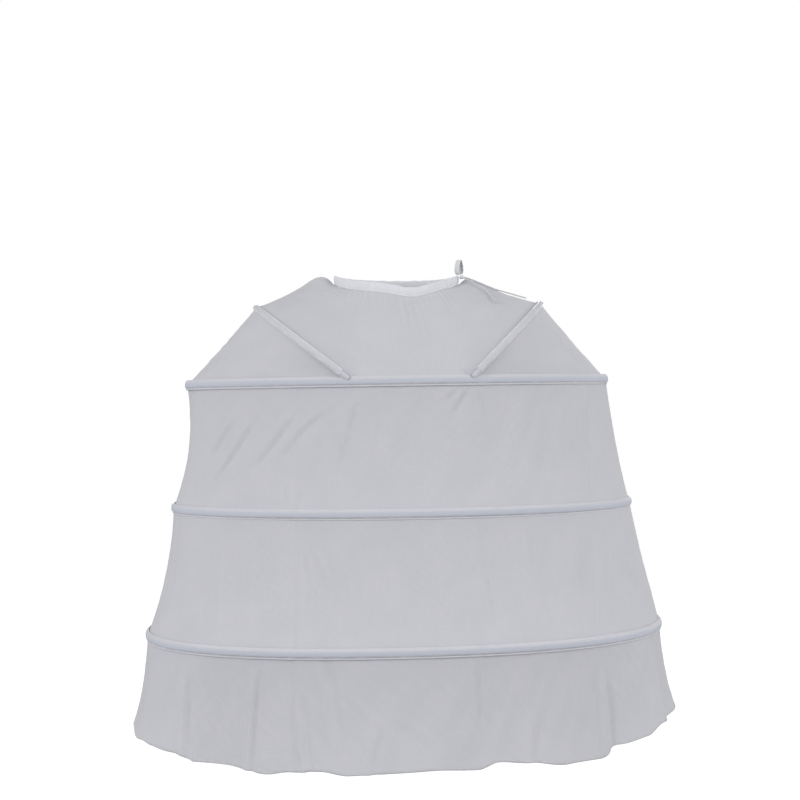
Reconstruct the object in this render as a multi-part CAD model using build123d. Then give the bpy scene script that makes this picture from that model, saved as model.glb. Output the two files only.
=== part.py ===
from build123d import *
import os
from math import copysign, cos, degrees, exp, hypot, pi, radians, sin, sqrt, tan

# A white cotton hoop petticoat with two hip arches, three oval hoops in casings and a flounce.
# Millimetres. The origin is the middle of the waist, +Z is up, -Y is the wearer's back
# and +X is the wearer's right.

# Each ring of the skirt is an oval: its reach to the left, right and back, the height of its
# middle, its slope from left to right and how square its oval is.
WAIST = dict(left=140, right=124, depth=95, height=0, slope=0, square=2.0)
HOOP_1 = dict(left=456, right=441, depth=287, height=-229, slope=0.015, square=2.0)
HOOP_2 = dict(left=484, right=490, depth=330, height=-489, slope=0.015, square=2.1)
HOOP_3 = dict(left=535, right=551, depth=402, height=-748, slope=0.023, square=2.3)
HEM = dict(left=575, right=583, depth=430, height=-962, slope=0.032, square=2.2)
WAIST_DIP_BACK = 22
WAIST_DIP_FRONT = 4

# The two hip arches: where each foot meets hoop 1, and the top of the arch.
ARCH_LEFT = dict(foot_x=-94, top_x=-308, top_z=-70)
ARCH_RIGHT = dict(foot_x=138, top_x=300, top_z=-61)
ARCH_FOOT_GAP = 29
ARCH_STANDS_OUT = 0.8

# Cloth is given about three times its real thickness, so that it is a sound solid.
CLOTH = 1.5
SEAM_GAP = 1.5
CLEAR = 0.3

# How far each tier is pulled in between its hoops: left, right and back.
BAND_1_SAG = dict(left=18, right=6, depth=12)
BAND_2_SAG = dict(left=12, right=10, depth=14)
FLOUNCE_SAG = dict(left=5, right=4, depth=8)

# Vertical seams of the bands and flounce: each width ends at these places across the skirt.
BACK_SEAM_LEFT = -205
BACK_SEAM_RIGHT = 386
# How many upright profiles the widths have, which their hoops follow too.
COLUMNS = {"back": 13, "right": 17, "front": 13, "left": 17}
FINE_STEPS = 400

# Soft folds of the flounce: waves round the skirt, and how far they stand out at the hem.
FLOUNCE_WAVES = ((7, 6.0, 0.4), (11, 4.5, 1.9), (17, 2.5, 3.1))
HEM_RIPPLES = ((5, 3.0, 0.6), (13, 2.0, 2.2))

# Gathers of the yokes under the waist casing.
GATHERS = 16
GATHER_HEIGHT = 2.6
GATHER_COLUMNS = 4
# The cloth stands up beside the waist: how high, and how far along the shoulder it is highest.
RIDGE_PUFF_LEFT = (27, 0.18)
RIDGE_PUFF_RIGHT = (17, 0.13)
YOKE_ROWS = (0, 0.07, 0.17, 0.32, 0.6, 1)
# The side gussets: their share of the arch's length, their profiles and their slack.
GUSSET_FROM, GUSSET_TO = 0.055, 0.945
GUSSET_COLUMNS = 20
GUSSET_ROWS = (0, 0.5, 1)
GUSSET_SLACK = 2
ARCH_STEPS = 16

# Flat spring steel in the casings, and the casings round it.
BONE_WIDTH = 12
BONE_THICK = 2.2
BONE_STANDS_OUT = 1.7
CASING_HEIGHT = 21
CASING_WALL = 1.0
JOINER_WALL = 0.6

# The waist casing, its drawstring tape and the opening at the wearer's right side.
WAIST_CASING_HEIGHT = 20
WAIST_CASING_THICK = 4
DRAWSTRING_WIDTH = 12
DRAWSTRING_THICK = 1.0
SIDE_SLIT = 5
SIDE_SEAM = 2
YOKE_OUTSIDE = 3.4
WAIST_STEPS = 20
WAIST_ROOF = 3
DRAWSTRING_DROP = 4

CROSS_TAPE_X = 170
CROSS_TAPE_WIDTH = 14
CROSS_TAPE_THICK = 1.2
CROSS_TAPE_DROP = 2
CROSS_TAPE_GAP = 1.3

HEM_EDGE_HEIGHT = 5
HEM_EDGE_THICK = 3
HEM_EDGE_GAP = 0.1

# The tied drawstring: a knot, a standing bow loop and two free ends.
KNOT_AT = (131.5, -20, -4)
KNOT_SIZE = (5, 5.5, 4.5)
KNOT_SIDES = 12
KNOT_RINGS = ((-1, 0.55), (-0.75, 0.9), (0, 1), (0.75, 0.9), (1, 0.55))
BOW_AT = (126, -22, 16.7)
BOW_WIDTH, BOW_HEIGHT, BOW_TAPE = 20, 32, 8
BOW_STEPS = 24
TIE_DIAMETER = 3
TIE_TAIL_BACK = [
    (132, -27, -5),
    (146, -30, -11),
    (161, -35, -18),
    (174, -45, -27),
    (183, -60, -35),
    (190, -79, -45),
    (195, -99, -55),
    (203, -117, -64),
]
TIE_TAIL_SIDE = [
    (137.3, -19, -4),
    (150, -16.5, -8),
    (163, -13, -13),
    (177, -11, -18),
    (192, -10.5, -25),
    (210, -12.5, -31.5),
    (230, -15, -37),
    (250, -19, -43.5),
    (270, -21, -49),
]


def oval_point(ring, angle, inset=0.0):
    """The point of a ring that faces a direction, in degrees, drawn in by an inset.

    The oval is abs(x / reach) ** n + abs(y / depth) ** n = 1, where n says how square it is."""
    c, s = cos(radians(angle)), sin(radians(angle))
    reach = (ring["right"] if c > 0 else ring["left"]) - inset
    depth = ring["depth"] - inset
    n = ring["square"]
    across = abs(reach * c) ** (1 / (n - 1))
    along = abs(depth * s) ** (1 / (n - 1))
    size = (across**n + along**n) ** (-1 / n)
    x = copysign(reach * size * across, c)
    y = copysign(depth * size * along, s)
    return Vector(x, y, ring["height"] + ring["slope"] * x)


def waist_point(angle, inset=0.0):
    """The top edge of the waist: it dips at the back and a little at the front."""
    p = oval_point(WAIST, angle, inset)
    dip = WAIST_DIP_BACK if p.Y < 0 else WAIST_DIP_FRONT
    return p - Vector(0, 0, dip * sin(radians(angle)) ** 2)


def angle_at_x(ring, x, back, inset=0.0):
    """The direction at which a ring crosses a vertical seam, by halving."""
    low, high = (180.0, 360.0) if back else (0.0, 180.0)
    for _ in range(50):
        middle = (low + high) / 2
        beyond = oval_point(ring, middle, inset).X > x
        if beyond == back:
            high = middle
        else:
            low = middle
    return (low + high) / 2


def patch(a, b, c, d):
    """The flat facets of a patch with four corners: one if it is flat, and two if it is not."""
    if abs((b - a).cross(c - a).dot(d - a)) < 1e-6:
        return [Face(Wire.make_polygon([a, b, c, d], close=True))]
    halves = ([a, b, c], [a, c, d])
    return [Face(Wire.make_polygon(corners, close=True)) for corners in halves]


def facet_solid(profiles, closed=False):
    """A solid through profiles along a path, each joined to the next by flat facets.

    A profile goes down the outside and back up the inside, so its first and last points lie
    opposite each other. A path that isn't closed has its two ends filled between the sides."""
    count = len(profiles[0])
    following = profiles[1:] + profiles[:1] if closed else profiles[1:]
    faces = []
    for here, there in zip(profiles, following):
        for k in range(count):
            after = (k + 1) % count
            faces += patch(here[k], here[after], there[after], there[k])
    for end in () if closed else (profiles[0], profiles[-1]):
        for k in range(count // 2 - 1):
            faces += patch(end[k], end[k + 1], end[-2 - k], end[-1 - k])
    solid = Solid(Shell(faces))
    if solid.volume < 0:
        # A thin solid can come out inside out, and doesn't when another face comes first.
        solid = Solid(Shell(faces[::-1]))
    return solid


def carried(frames, outline):
    """The outline's profiles, out from the path and up it, at each frame."""
    return [[at + out * a + up * b for a, b in outline] for at, out, up in frames]


def frames_at(place, angles):
    """Places round an oval edge, each with the direction it faces and the vertical."""
    frames = []
    for angle in angles:
        out = Vector(cos(radians(angle)), sin(radians(angle)), 0)
        frames.append((place(angle), out, Vector(0, 0, 1)))
    return frames


def save(shape, name):
    export_step(shape, f"parts/{name}.step")


# Bands and flounce


def tier_point(upper, lower, sag, angle_top, angle_low, drop, inset, waves=0.0):
    """A point between two rings, drawn in by the tier's sag and moved by its folds."""
    top = oval_point(upper, angle_top, inset)
    low = oval_point(lower, angle_low, inset)
    p = top + (low - top) * drop
    angle = angle_top + (angle_low - angle_top) * drop
    c, s = cos(radians(angle)), sin(radians(angle))
    pull = 4 * drop * (1 - drop)
    side = sag["right"] if c > 0 else sag["left"]
    x = -pull * side * c * abs(c)
    y = -pull * sag["depth"] * s
    fold = 0.0
    ripple = 0.0
    if waves:
        fold = sum(size * sin(n * radians(angle) + turn) for n, size, turn in FLOUNCE_WAVES)
        fold *= waves * drop**1.5
        ripple = sum(size * sin(n * radians(angle) + turn) for n, size, turn in HEM_RIPPLES)
        ripple *= waves * drop**2
    return p + Vector(x + fold * c, y + fold * s, ripple)


def width_angle(ring, seams, share, inset=0.0):
    """The direction at a share of the way round a ring from one seam to the next."""
    first, last = (angle_at_x(ring, x, back, inset) for x, back in seams)
    if last < first:
        last += 360
    return first + (last - first) * share


def even_shares(seams, count):
    """Shares of the way from one seam to the next that part hoop 3 into equal lengths."""
    fine = [i / FINE_STEPS for i in range(FINE_STEPS + 1)]
    points = [oval_point(HOOP_3, width_angle(HOOP_3, seams, share)) for share in fine]
    run = [0.0]
    for here, there in zip(points, points[1:]):
        run.append(run[-1] + (there - here).length)
    shares = []
    for i in range(count + 1):
        place = min(range(len(run)), key=lambda k: abs(run[k] - run[-1] * i / count))
        shares.append(fine[place])
    return shares


def tier_width(upper, lower, sag, side, top_gap, waves, rows):
    """One width of cloth between two vertical seams, from its upright profiles."""
    seams, shares = WIDTHS[side], SHARES[side]
    profiles = []
    for share in shares:
        lines = []
        for inset in (0.0, CLOTH):
            angle_top = width_angle(upper, seams, share, inset)
            angle_low = width_angle(lower, seams, share, inset)
            line = []
            for j in range(rows):
                drop = top_gap + (1 - top_gap) * j / (rows - 1)
                p = tier_point(upper, lower, sag, angle_top, angle_low, drop, inset, waves)
                if share in (0, 1):
                    p = Vector(seams[round(share)][0], p.Y, p.Z)
                line.append(p)
            lines.append(line)
        profiles.append(lines[0] + lines[1][::-1])
    return facet_solid(profiles)


WIDTHS = {
    "back": ((BACK_SEAM_LEFT, True), (BACK_SEAM_RIGHT, True)),
    "right": ((BACK_SEAM_RIGHT, True), (-BACK_SEAM_LEFT, False)),
    "front": ((-BACK_SEAM_LEFT, False), (-BACK_SEAM_RIGHT, False)),
    "left": ((-BACK_SEAM_RIGHT, False), (BACK_SEAM_LEFT, True)),
}

SHARES = {side: even_shares(seams, COLUMNS[side]) for side, seams in WIDTHS.items()}

# Yokes and gussets


def arch_ends(arch):
    """The middle of an arch's foot line, its reach to the top and its reach to a foot."""
    angle = angle_at_x(HOOP_1, arch["foot_x"], True)
    foot = oval_point(HOOP_1, angle)
    middle = Vector(foot.X, 0, foot.Z)
    top = Vector(arch["top_x"], 0, arch["top_z"])
    return middle, top - middle, Vector(0, -foot.Y, 0)


def arch_point(arch, turn):
    """An arch is half an oval: a turn of 0 is its back foot and 180 its front foot."""
    middle, rise, reach = arch_ends(arch)
    return middle + rise * sin(radians(turn)) - reach * cos(radians(turn))


def hoop_share(arch, share, side):
    """Hoop 1 beside an arch, from its back foot to its front foot."""
    back = angle_at_x(HOOP_1, arch["foot_x"], True)
    front = angle_at_x(HOOP_1, arch["foot_x"], False)
    if side > 0:
        back -= 360
    return oval_point(HOOP_1, back + (front - back) * share)


def cloth_profile(run, rows, low_gap, away, place):
    """A cloth profile down a run, whose face is at a place and whose inside lies behind it."""
    outer, inner = [], []
    for row in rows:
        p = place(row * (1 - low_gap / run.length))
        outer.append(p)
        inner.append(p - away * CLOTH)
    return outer + inner[::-1]


def gusset(arch, side):
    """The side cloth from an arch out to hoop 1, a little slack in its middle."""
    middle = lambda share: arch_point(arch, 180 * share) + hoop_share(arch, share, side)
    profiles = []
    for i in range(GUSSET_COLUMNS + 1):
        share = GUSSET_FROM + (GUSSET_TO - GUSSET_FROM) * i / GUSSET_COLUMNS
        top = arch_point(arch, 180 * share)
        run = hoop_share(arch, share, side) - top
        gap = min(SEAM_GAP, run.length * 0.1)
        top += run.normalized() * gap
        run -= run.normalized() * gap
        away = run.cross(middle(share + 0.01) - middle(share - 0.01)).normalized() * side
        slack = 4 * GUSSET_SLACK * sin(pi * share)
        place = lambda t: top + run * t - away * slack * t * (1 - t)
        profiles.append(cloth_profile(run, GUSSET_ROWS, gap, away, place))
    return facet_solid(profiles)


def yoke_edge(share, front):
    """The lower edge of a yoke: down the left arch, along hoop 1 and up the right arch."""
    arch_share = 0.385
    if share < arch_share:
        p = arch_point(ARCH_LEFT, 90 - 90 * share / arch_share)
    elif share > 1 - arch_share:
        p = arch_point(ARCH_RIGHT, 90 - 90 * (1 - share) / arch_share)
    else:
        along = (share - arch_share) / (1 - 2 * arch_share)
        first = angle_at_x(HOOP_1, ARCH_LEFT["foot_x"], True)
        last = angle_at_x(HOOP_1, ARCH_RIGHT["foot_x"], True)
        p = oval_point(HOOP_1, first + (last - first) * along)
    return Vector(p.X, -p.Y, p.Z) if front else p


def yoke(front):
    """The gathered cloth from the waist casing to the arches and hoop 1."""
    profiles = []
    count = GATHERS * GATHER_COLUMNS
    for i in range(count + 1):
        share = i / count
        angle = 180 - 180 * share if front else 180 + 180 * share
        top = waist_point(angle, -YOKE_OUTSIDE) - Vector(0, 0, WAIST_CASING_HEIGHT + CLEAR)
        low = yoke_edge(share, front)
        height, far = RIDGE_PUFF_LEFT if share < 0.5 else RIDGE_PUFF_RIGHT
        height *= abs(2 * share - 1) ** 5
        folds = GATHER_HEIGHT * sin(2 * pi * GATHERS * share) * (1 + 0.3 * sin(9 * share))
        if i in (0, count):
            folds = 0
            top = Vector(top.X, 0, top.Z)
            low = Vector(low.X, 0, low.Z)
        run = low - top
        flat = Vector(run.X, run.Y, 0).normalized()
        away = (flat * -run.Z + Vector(0, 0, 1) * hypot(run.X, run.Y)) * (1 / run.length)
        puff = lambda t: height * t / far * exp(1 - t / far)
        place = lambda t: top + run * t + away * puff(t) + flat * folds * (1 - t) ** 3
        profiles.append(cloth_profile(run, YOKE_ROWS, SEAM_GAP, away, place))
    return facet_solid(profiles)


def arch_frames(arch, side):
    """Places along an arch, each with the cloth's outward direction and the direction across."""
    middle, rise, reach = arch_ends(arch)
    first = degrees(ARCH_FOOT_GAP / rise.length)
    frames = []
    for i in range(ARCH_STEPS + 1):
        turn = first + (180 - 2 * first) * i / ARCH_STEPS
        at = arch_point(arch, turn)
        along = (arch_point(arch, turn + 0.1) - arch_point(arch, turn - 0.1)).normalized()
        to_hoop = (hoop_share(arch, turn / 180, side) - at).normalized()
        waist = waist_point((180 if side < 0 else 0) + side * (turn - 90))
        to_waist = (waist - at).normalized()
        across = (to_waist - to_hoop).normalized()
        out = across.cross(along) * -side
        out = out.normalized()
        frames.append((at + out * ARCH_STANDS_OUT, out, along.cross(out) * side))
    return frames


# Casings, bones and tapes

HALF = CASING_HEIGHT / 2
POCKET = BONE_WIDTH / 2 + JOINER_WALL + CLEAR
POCKET_OUT = BONE_STANDS_OUT + BONE_THICK + JOINER_WALL + CLEAR
CASING_DEPTH = POCKET_OUT + CASING_WALL


def casing_outline(top_out, low_out):
    """The profile of a casing, open to the cloth that it is sewn on.

    The two edges lie on the cloth, this far out from the hoop's line."""
    return [
        (top_out, HALF),
        (top_out + CASING_WALL, HALF),
        (CASING_DEPTH, POCKET + 0.6),
        (CASING_DEPTH, -POCKET - 0.6),
        (low_out + CASING_WALL, -HALF),
        (low_out, -HALF),
        (POCKET_OUT, -POCKET),
        (POCKET_OUT, POCKET),
    ]


def flat_outline(wall):
    """The profile of the flat steel, or of a sleeve with this wall round it."""
    low, high = BONE_STANDS_OUT - wall, BONE_STANDS_OUT + BONE_THICK + wall
    side = BONE_WIDTH / 2 + wall
    return [(low, side), (high, side), (high, -side), (low, -side)]


def ring_frames(ring):
    """Places round a hoop, at the upright profiles of the widths of cloth beside it."""
    angles = []
    for side, seams in WIDTHS.items():
        angles += [width_angle(ring, seams, share) for share in SHARES[side][:-1]]
    return frames_at(lambda angle: oval_point(ring, angle), angles)


def joiner(frames):
    """The crimped sleeve over the hoop's two ends, in the middle of one straight stretch."""
    first, last = frames[COLUMNS["back"] + 3 : COLUMNS["back"] + 5]
    short = [tuple(a + (b - a) * share for a, b in zip(first, last)) for share in (0.2, 0.8)]
    solid, hole = (facet_solid(carried(short, flat_outline(w))) for w in (JOINER_WALL, 0))
    return solid - hole


def hem_edge():
    """The overlocked edge under the flounce."""
    frames = []
    for side, seams in WIDTHS.items():
        for share in SHARES[side][:-1]:
            top = width_angle(HOOP_3, seams, share)
            low = width_angle(HEM, seams, share)
            p = tier_point(HOOP_3, HEM, FLOUNCE_SAG, top, low, 1, 0, 1.0)
            p = Vector(p.X if share else seams[0][0], p.Y, p.Z - HEM_EDGE_GAP)
            out = Vector(cos(radians(low)), sin(radians(low)), 0)
            frames.append((p, out, Vector(0, 0, 1)))
    proud = (HEM_EDGE_THICK - CLOTH) / 2
    out, back = proud, -CLOTH - proud
    outline = [(out, 0), (out, -HEM_EDGE_HEIGHT), (back, -HEM_EDGE_HEIGHT), (back, 0)]
    return facet_solid(carried(frames, outline), closed=True)


def waist_angles(back):
    """Where the waist casings have their profiles, from the right slit or to it."""
    first, last = SIDE_SLIT, 180 - SIDE_SEAM
    angles = [first + (last - first) * i / WAIST_STEPS for i in range(WAIST_STEPS + 1)]
    return [360 - angle for angle in reversed(angles)] if back else angles


def waist_casing(back):
    """The folded casing: two layers joined along the top, with the drawstring between."""
    half, low = WAIST_CASING_THICK / 2, -WAIST_CASING_HEIGHT
    slot, roof = DRAWSTRING_THICK / 2 + CLEAR, -WAIST_ROOF
    outline = [(half, low), (half, 0), (-half, 0), (-half, low)]
    outline += [(-slot, low), (-slot, roof), (slot, roof), (slot, low)]
    return facet_solid(carried(frames_at(waist_point, waist_angles(back)), outline))


def drawstring():
    """The tape inside both waist casings, all the way round from the opening and back to it."""
    half, top = DRAWSTRING_THICK / 2, -DRAWSTRING_DROP
    low = top - DRAWSTRING_WIDTH
    outline = [(half, top), (half, low), (-half, low), (-half, top)]
    angles = [SIDE_SLIT / 2, *waist_angles(False), 180, *waist_angles(True), 360 - SIDE_SLIT / 2]
    return facet_solid(carried(frames_at(waist_point, angles), outline))


def cross_tape(hoop, x):
    """A tape from the back casing to the front one, just under the hoop."""
    angle = angle_at_x(hoop, x, True, CLOTH)
    end = oval_point(hoop, angle, CLOTH)
    length = -2 * end.Y - 2 * CROSS_TAPE_GAP
    middle = end.Z - CROSS_TAPE_DROP - CROSS_TAPE_WIDTH / 2
    return Pos(x, 0, middle) * Box(CROSS_TAPE_THICK, length, CROSS_TAPE_WIDTH)


def bow():
    """The standing loop of the bow: a flat tape bent into an upright oval."""
    frames = []
    for i in range(BOW_STEPS):
        c, s = cos(2 * pi * i / BOW_STEPS), sin(2 * pi * i / BOW_STEPS)
        at = Vector(*BOW_AT) + Vector(BOW_WIDTH / 2 * c, 0, BOW_HEIGHT / 2 * s)
        out = Vector(BOW_HEIGHT * c, 0, BOW_WIDTH * s).normalized()
        frames.append((at, out, Vector(0, 1, 0)))
    half = BOW_TAPE / 2
    outline = [(0, half), (0, -half), (-DRAWSTRING_THICK, -half), (-DRAWSTRING_THICK, half)]
    return facet_solid(carried(frames, outline), closed=True)


def knot():
    """The knot of the tied drawstring: a tape wound round, so a short rounded barrel."""
    profiles = []
    turns = [2 * pi * i / KNOT_SIDES for i in range(KNOT_SIDES)]
    for along, size in KNOT_RINGS:
        ring = [(KNOT_SIZE[1] * size * cos(t), KNOT_SIZE[2] * size * sin(t)) for t in turns]
        middle = Vector(*KNOT_AT) + Vector(KNOT_SIZE[0] * along, 0, 0)
        profiles.append([middle + Vector(0, y, z) for y, z in ring])
    return facet_solid(profiles)


def tie_tail(points):
    """A free end of the drawstring: straight runs joined by arcs as large as fit.

    Its section is an octagon with the area of the string's circle."""
    radii = []
    for before, at, after in zip(points, points[1:], points[2:]):
        into, away = Vector(*at) - Vector(*before), Vector(*after) - Vector(*at)
        turn = radians(into.get_angle(away))
        radii.append(0.45 * min(into.length, away.length) / tan(turn / 2))
    print("radii", [round(r, 1) for r in radii])
    path = FilletPolyline(*points, radius=radii).wire()
    start = Plane(origin=path @ 0, z_dir=path % 0)
    area = pi * TIE_DIAMETER**2 / 4
    corner = sqrt(area / (2 * sqrt(2)))
    tube = sweep(start * RegularPolygon(corner, 8), path)
    share = tube.volume / (area * path.length)
    print("length", round(path.length, 1), "volume share", round(share, 4))
    return tube


os.makedirs("parts", exist_ok=True)
TIERS = {
    "upper_band": (HOOP_1, HOOP_2, BAND_1_SAG, 0.008, 0.0, 5),
    "lower_band": (HOOP_2, HOOP_3, BAND_2_SAG, 0.0, 0.0, 5),
    "flounce": (HOOP_3, HEM, FLOUNCE_SAG, 0.0, 1.0, 6),
}
for tier, (upper, lower, sag, top_gap, waves, rows) in TIERS.items():
    for side in WIDTHS:
        save(tier_width(upper, lower, sag, side, top_gap, waves, rows), f"{tier}_{side}")
save(hem_edge(), "hem_overlock")

save(yoke(False), "back_yoke")
save(yoke(True), "front_yoke")
for arch, side, name in ((ARCH_LEFT, -1, "left"), (ARCH_RIGHT, 1, "right")):
    frames = arch_frames(arch, side)
    save(gusset(arch, side), f"gusset_{name}")
    save(facet_solid(carried(frames, casing_outline(-2, 0.5))), f"arch_casing_{name}")
    save(facet_solid(carried(frames, flat_outline(0))), f"arch_bone_{name}")

CASING_EDGES = ((0.6, 1.5), (-1.5, 2.6), (-2, 2.2))
for number, (hoop, edges) in enumerate(zip((HOOP_1, HOOP_2, HOOP_3), CASING_EDGES), 1):
    frames = ring_frames(hoop)
    casing = facet_solid(carried(frames, casing_outline(*edges)), closed=True)
    save(casing, f"hoop_casing_{number}")
    bone = facet_solid(carried(frames, flat_outline(0)), closed=True)
    save(bone, f"hoop_bone_{number}")
    save(joiner(frames), f"hoop_joiner_{number}")
    for side, x in (("left", -CROSS_TAPE_X), ("right", CROSS_TAPE_X)):
        save(cross_tape(hoop, x), f"cross_tape_{number}_{side}")

save(waist_casing(True), "waist_casing_back")
save(waist_casing(False), "waist_casing_front")
save(drawstring(), "drawstring")
save(knot(), "tie_knot")
save(bow(), "tie_bow")
save(tie_tail(TIE_TAIL_BACK), "tie_tail_back")
save(tie_tail(TIE_TAIL_SIDE), "tie_tail_side")
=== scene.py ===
from math import radians

import bpy
import numpy as np
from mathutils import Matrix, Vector


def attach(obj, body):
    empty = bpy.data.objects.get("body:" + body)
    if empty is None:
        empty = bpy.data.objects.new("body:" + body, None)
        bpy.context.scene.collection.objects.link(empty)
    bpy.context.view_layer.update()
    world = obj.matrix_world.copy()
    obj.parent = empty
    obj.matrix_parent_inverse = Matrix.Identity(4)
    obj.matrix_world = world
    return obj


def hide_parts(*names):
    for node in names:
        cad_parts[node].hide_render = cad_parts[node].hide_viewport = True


# A white cotton hoop petticoat, seen from its wearer's back: two hip arches, three oval hoops in
# casings, gathered yokes, a flounce with an overlocked hem and a drawstring tied at the side.
# Sizes are in millimetres and turn to metres where a mesh or a curve is made.

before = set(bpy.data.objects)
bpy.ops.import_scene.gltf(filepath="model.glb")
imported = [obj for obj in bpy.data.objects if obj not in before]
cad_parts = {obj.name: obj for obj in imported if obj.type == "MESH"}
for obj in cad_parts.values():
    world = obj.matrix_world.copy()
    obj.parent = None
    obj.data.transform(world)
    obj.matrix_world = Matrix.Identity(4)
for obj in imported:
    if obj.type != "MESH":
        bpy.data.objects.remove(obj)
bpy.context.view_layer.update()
MM = 0.001

# The camera stands 3.4 m behind the wearer, level with the thighs, and looks straight ahead with
# a short telephoto lens, as for a catalogue picture.
camera = bpy.data.objects.new("camera", bpy.data.cameras.new("camera"))
bpy.context.collection.objects.link(camera)
camera.data.sensor_width = 36
camera.data.lens = 71.1
camera.location = (0, -3.4, -0.267)
camera.rotation_euler = (radians(90), 0, 0)
bpy.context.scene.camera = camera


# The tied drawstring: two free ends of limp cotton string leave the knot at the right side
# opening. One lies across the back yoke, the other along the shoulder ridge; both ends are bare.
TAIL_BACK = [
    (132, -27, -5),
    (146, -30, -11),
    (161, -35, -18),
    (174, -45, -27),
    (183, -60, -35),
    (190, -79, -45),
    (195, -99, -55),
    (203, -117, -64),
]
TAIL_SIDE = [
    (137.3, -19, -4),
    (150, -16.5, -8),
    (163, -13, -13),
    (177, -11, -18),
    (192, -10.5, -25),
    (210, -12.5, -31.5),
    (230, -15, -37),
    (250, -19, -43.5),
    (270, -21, -49),
]
STRING = 3.0


def string_curve(name, points):
    """A smooth line through space near its points, with a round section."""
    data = bpy.data.curves.new(name, "CURVE")
    data.dimensions = "3D"
    data.bevel_depth = STRING / 2 * MM
    data.bevel_resolution = 3
    data.resolution_u = 10
    data.use_fill_caps = True
    spline = data.splines.new("NURBS")
    spline.points.add(len(points) - 1)
    for point, at in zip(spline.points, points):
        point.co = (at[0] * MM, at[1] * MM, at[2] * MM, 1)
    spline.order_u = 3
    spline.use_endpoint_u = True
    piece = bpy.data.objects.new(name, data)
    bpy.context.collection.objects.link(piece)
    return piece


def linear(value):
    """The linear part of one sRGB channel from 0 to 1."""
    return value / 12.92 if value <= 0.04045 else ((value + 0.055) / 1.055) ** 2.4


def colour(code):
    """An sRGB hex colour as linear red, green, blue and full cover."""
    parts = [int(code[i : i + 2], 16) / 255 for i in (1, 3, 5)]
    return (*[linear(part) for part in parts], 1.0)


def blank(name):
    """A new material, its node tree and its shader."""
    finish = bpy.data.materials.new(name)
    finish.use_nodes = True
    return finish, finish.node_tree, finish.node_tree.nodes["Principled BSDF"]


def add(tree, kind, inputs=None, **settings):
    """One node with its settings, and its inputs set to values or linked to outputs."""
    node = tree.nodes.new(kind)
    for name, value in settings.items():
        setattr(node, name, value)
    for name, value in (inputs or {}).items():
        if isinstance(value, bpy.types.NodeSocket):
            tree.links.new(value, node.inputs[name])
        else:
            node.inputs[name].default_value = value
    return node


def cotton(name, code, shade, threads, relief, where="UV", over_steel=None):
    """Cotton: a plain weave of two crossed waves, with slubs, soft blotches and a nap.

    threads is the drawn distance between threads in mm; a real one is 0.3 mm, which is too fine
    to show. where is UV, in mm along the cloth, or Object, in metres. The last argument is a
    darker, cooler colour painted in as shade, where the mesh's own mark of that name says so."""
    finish, tree, shader = blank(name)
    size = 1.0 if where == "UV" else 1 / MM
    at = add(tree, "ShaderNodeTexCoord").outputs[where]
    at = add(tree, "ShaderNodeMapping", {"Vector": at, "Scale": (size, size, size)}).outputs[0]
    pitch = 2 * np.pi / threads / 20
    wave = {"Vector": at, "Scale": pitch, "Distortion": 1.2, "Detail": 1, "Detail Scale": 0.6}
    warp = add(tree, "ShaderNodeTexWave", wave, bands_direction="X")
    weft = add(tree, "ShaderNodeTexWave", wave, bands_direction="Y" if where == "UV" else "Z")
    weave = add(tree, "ShaderNodeMath", {0: warp.outputs[1], 1: weft.outputs[1]}, operation="ADD")
    blotch = add(tree, "ShaderNodeTexNoise", {"Vector": at, "Scale": 0.012, "Detail": 2})
    slub = add(tree, "ShaderNodeTexNoise", {"Vector": at, "Scale": 0.22, "Detail": 3})
    tone = add(
        tree,
        "ShaderNodeMath",
        {0: blotch.outputs["Fac"], 1: slub.outputs["Fac"]},
        operation="ADD",
    )
    tone = add(
        tree,
        "ShaderNodeMapRange",
        {"Value": tone.outputs[0], "From Min": 0.7, "From Max": 1.3},
    )
    mixed = add(
        tree,
        "ShaderNodeMix",
        {"Factor": tone.outputs[0], 6: colour(shade), 7: colour(code)},
        data_type="RGBA",
    )
    # Painted shade: a darker, cooler colour, mixed in as far as the mesh's mark says.
    if over_steel:
        mark = add(tree, "ShaderNodeAttribute", attribute_name="over_steel")
        mixed = add(
            tree,
            "ShaderNodeMix",
            {"Factor": mark.outputs["Fac"], 6: mixed.outputs[2], 7: colour(over_steel)},
            data_type="RGBA",
        )
    threads_dark = add(
        tree,
        "ShaderNodeMapRange",
        {"Value": weave.outputs[0], "From Max": 2.0, "To Min": 0.965, "To Max": 1.0},
    )
    lit = add(
        tree,
        "ShaderNodeMix",
        {"Factor": 1.0, 6: mixed.outputs[2], 7: threads_dark.outputs[0]},
        data_type="RGBA",
        blend_type="MULTIPLY",
    )
    tree.links.new(lit.outputs[2], shader.inputs["Base Color"])
    height = add(
        tree,
        "ShaderNodeMath",
        {0: weave.outputs[0], 1: slub.outputs["Fac"]},
        operation="ADD",
    )
    bump = add(
        tree,
        "ShaderNodeBump",
        {"Height": height.outputs[0], "Strength": relief, "Distance": 0.0004},
    )
    tree.links.new(bump.outputs[0], shader.inputs["Normal"])
    shader.inputs["Roughness"].default_value = 0.92
    shader.inputs["Specular IOR Level"].default_value = 0.25
    shader.inputs["Sheen Weight"].default_value = 0.08
    shader.inputs["Sheen Roughness"].default_value = 0.6
    return finish


def dress(piece, finish, slot, *nodes):
    """Gives a piece its material, makes it ride, and lets it stand for CAD nodes. slot is not
    used.
    """
    piece.data.materials.clear()
    piece.data.materials.append(finish)
    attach(piece, "root")
    if nodes:
        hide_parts(*nodes)
    return piece


# Bleached cotton string, twisted and matte.
string_cotton = cotton("bleached_cotton_string", "#dcdde2", "#cfd0d6", 1.2, 0.5, "Object")
for name, points, length in (
    ("string_tail_back", TAIL_BACK, 0.1375),
    ("string_tail_side", TAIL_SIDE, 0.1417),
):
    tail = string_curve(name, points)
    node = name.replace("string", "tie")
    dress(tail, string_cotton, "cotton_tape", node)


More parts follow.
